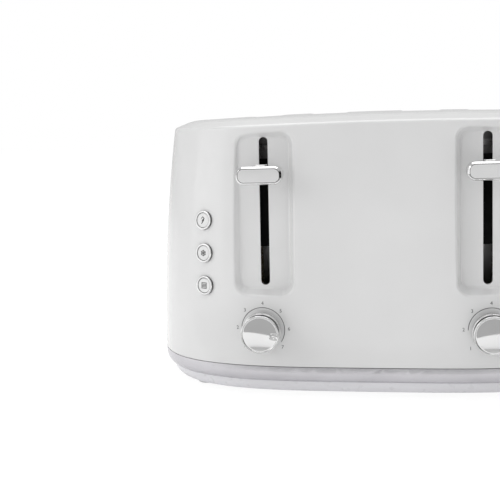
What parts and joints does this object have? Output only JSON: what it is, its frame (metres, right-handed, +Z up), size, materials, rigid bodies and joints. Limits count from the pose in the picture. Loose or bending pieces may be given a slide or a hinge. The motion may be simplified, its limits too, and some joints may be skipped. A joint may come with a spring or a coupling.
{
  "type": "pop up toaster",
  "caption": "Wide white pop up toaster with rounded corners, chrome foot band, recessed levers, browning dials, push buttons, sprung lifts, closing bread guides and slide-out crumb trays.",
  "frame": {"origin": "middle of the bottom of the box around the whole toaster, on the surface that the feet stand on", "axes": "+Z up, -Y towards the user and the controls, +X to the user's right"},
  "size_m": [0.3304, 0.3076, 0.196],
  "materials": {
    "white_body": "glossy white moulded plastic",
    "white_base": "satin white moulded plastic",
    "chrome_trim": "bright plated",
    "chrome_controls": "bright plated",
    "button_white": "satin white moulded plastic",
    "foot_rubber": "matt",
    "screw_steel": "zinc plated",
    "gland_plastic": "matt white",
    "tray_steel": "galvanised sheet",
    "oven_steel": "aluminised sheet",
    "wire_steel": "drawn wire",
    "mica": "pressed mica board",
    "board_green": "circuit board with solder mask",
    "carriage_steel": "pressed sheet",
    "rod_steel": "ground bar",
    "core_iron": "laminated iron",
    "coil_copper": "enamelled copper winding",
    "pot_case": "moulded case"
  },
  "bodies": {
    "housing": {"body_shell": "white_body", "chrome_band": "chrome_trim", "base_pan": "white_base", "rubber_feet": "foot_rubber", "base_screws": "screw_steel", "cord_gland": "gland_plastic", "button_bezels_left": "chrome_controls", "button_board_left": "board_green", "control_board_left": "board_green", "guide_rod_left": "rod_steel", "magnet_core_left": "core_iron", "magnet_coils_left": "coil_copper", "oven_front_plate_left": "oven_steel", "oven_rear_plate_left": "oven_steel", "heat_shields_left": "oven_steel", "heater_boards_left": "mica", "potentiometer_left": "pot_case", "button_bezels_right": "chrome_controls", "button_board_right": "board_green", "control_board_right": "board_green", "guide_rod_right": "rod_steel", "magnet_core_right": "core_iron", "magnet_coils_right": "coil_copper", "oven_front_plate_right": "oven_steel", "oven_rear_plate_right": "oven_steel", "heat_shields_right": "oven_steel", "heater_boards_right": "mica", "potentiometer_right": "pot_case"},
    "lift_left": {"carriage_plate_left": "carriage_steel", "lever_cap_left": "chrome_controls", "bread_lifter_inner_left": "wire_steel", "bread_lifter_outer_left": "wire_steel", "armature_left": "core_iron", "return_spring_left": "rod_steel"},
    "guides_inward_left": {"guides_inward_left": "wire_steel"},
    "guides_outward_left": {"guides_outward_left": "wire_steel"},
    "dial_left": {"dial_knob_left": "chrome_controls", "dial_shaft_left": "rod_steel"},
    "button_reheat_left": {"button_reheat_left": "button_white"},
    "button_defrost_left": {"button_defrost_left": "button_white"},
    "button_cancel_left": {"button_cancel_left": "button_white"},
    "crumb_tray_left": {"crumb_tray_left": "tray_steel"},
    "lift_right": {"carriage_plate_right": "carriage_steel", "lever_cap_right": "chrome_controls", "bread_lifter_inner_right": "wire_steel", "bread_lifter_outer_right": "wire_steel", "armature_right": "core_iron", "return_spring_right": "rod_steel"},
    "guides_inward_right": {"guides_inward_right": "wire_steel"},
    "guides_outward_right": {"guides_outward_right": "wire_steel"},
    "dial_right": {"dial_knob_right": "chrome_controls", "dial_shaft_right": "rod_steel"},
    "button_reheat_right": {"button_reheat_right": "button_white"},
    "button_defrost_right": {"button_defrost_right": "button_white"},
    "button_cancel_right": {"button_cancel_right": "button_white"},
    "crumb_tray_right": {"crumb_tray_right": "tray_steel"}
  },
  "joints": [
    {"name": "lift_left_slide", "type": "slide", "parent": "housing", "child": "lift_left", "axis": [0, 0, 1], "range_m": [-0.072, 0.016], "stiffness_N_per_m": 150, "springref_m": 0.0105, "deforming": ["return_spring_left"]},
    {"name": "guides_inward_left_slide", "type": "slide", "parent": "housing", "child": "guides_inward_left", "axis": [1, 0, 0], "range_m": [-0.0012, 0.0051]},
    {"name": "guides_outward_left_slide", "type": "slide", "parent": "housing", "child": "guides_outward_left", "axis": [-1, 0, 0], "range_m": [-0.0012, 0.0051]},
    {"name": "dial_left_turn", "type": "hinge", "parent": "housing", "child": "dial_left", "pos_m": [-0.0763, -0.1473, 0.0493], "axis": [0, 1, 0], "range_deg": [-229, 35]},
    {"name": "button_reheat_left_push", "type": "slide", "parent": "housing", "child": "button_reheat_left", "axis": [0.4471, 0.8887, -0.1012], "range_m": [0, 0.0015], "stiffness_N_per_m": 400, "springref_m": -0.0005},
    {"name": "button_defrost_left_push", "type": "slide", "parent": "housing", "child": "button_defrost_left", "axis": [0.4328, 0.8979, -0.0803], "range_m": [0, 0.0015], "stiffness_N_per_m": 400, "springref_m": -0.0005},
    {"name": "button_cancel_left_push", "type": "slide", "parent": "housing", "child": "button_cancel_left", "axis": [0.4223, 0.9045, -0.0596], "range_m": [0, 0.0015], "stiffness_N_per_m": 400, "springref_m": -0.0005},
    {"name": "crumb_tray_left_slide", "type": "slide", "parent": "housing", "child": "crumb_tray_left", "axis": [0, 1, 0], "range_m": [0, 0.19]},
    {"name": "lift_right_slide", "type": "slide", "parent": "housing", "child": "lift_right", "axis": [0, 0, 1], "range_m": [-0.072, 0.016], "stiffness_N_per_m": 150, "springref_m": 0.0105, "deforming": ["return_spring_right"]},
    {"name": "guides_inward_right_slide", "type": "slide", "parent": "housing", "child": "guides_inward_right", "axis": [-1, 0, 0], "range_m": [-0.0012, 0.0051]},
    {"name": "guides_outward_right_slide", "type": "slide", "parent": "housing", "child": "guides_outward_right", "axis": [1, 0, 0], "range_m": [-0.0012, 0.0051]},
    {"name": "dial_right_turn", "type": "hinge", "parent": "housing", "child": "dial_right", "pos_m": [0.0763, -0.1473, 0.0493], "axis": [0, 1, 0], "range_deg": [-229, 35]},
    {"name": "button_reheat_right_push", "type": "slide", "parent": "housing", "child": "button_reheat_right", "axis": [-0.4471, 0.8887, -0.1012], "range_m": [0, 0.0015], "stiffness_N_per_m": 400, "springref_m": -0.0005},
    {"name": "button_defrost_right_push", "type": "slide", "parent": "housing", "child": "button_defrost_right", "axis": [-0.4328, 0.8979, -0.0803], "range_m": [0, 0.0015], "stiffness_N_per_m": 400, "springref_m": -0.0005},
    {"name": "button_cancel_right_push", "type": "slide", "parent": "housing", "child": "button_cancel_right", "axis": [-0.4223, 0.9045, -0.0596], "range_m": [0, 0.0015], "stiffness_N_per_m": 400, "springref_m": -0.0005},
    {"name": "crumb_tray_right_slide", "type": "slide", "parent": "housing", "child": "crumb_tray_right", "axis": [0, 1, 0], "range_m": [0, 0.19]}
  ],
  "couplings": [
    {"joint": "guides_inward_left_slide", "follows": "lift_left_slide", "ratio": -0.069444},
    {"joint": "guides_outward_left_slide", "follows": "lift_left_slide", "ratio": -0.069444},
    {"joint": "guides_inward_right_slide", "follows": "lift_right_slide", "ratio": -0.069444},
    {"joint": "guides_outward_right_slide", "follows": "lift_right_slide", "ratio": -0.069444}
  ]
}
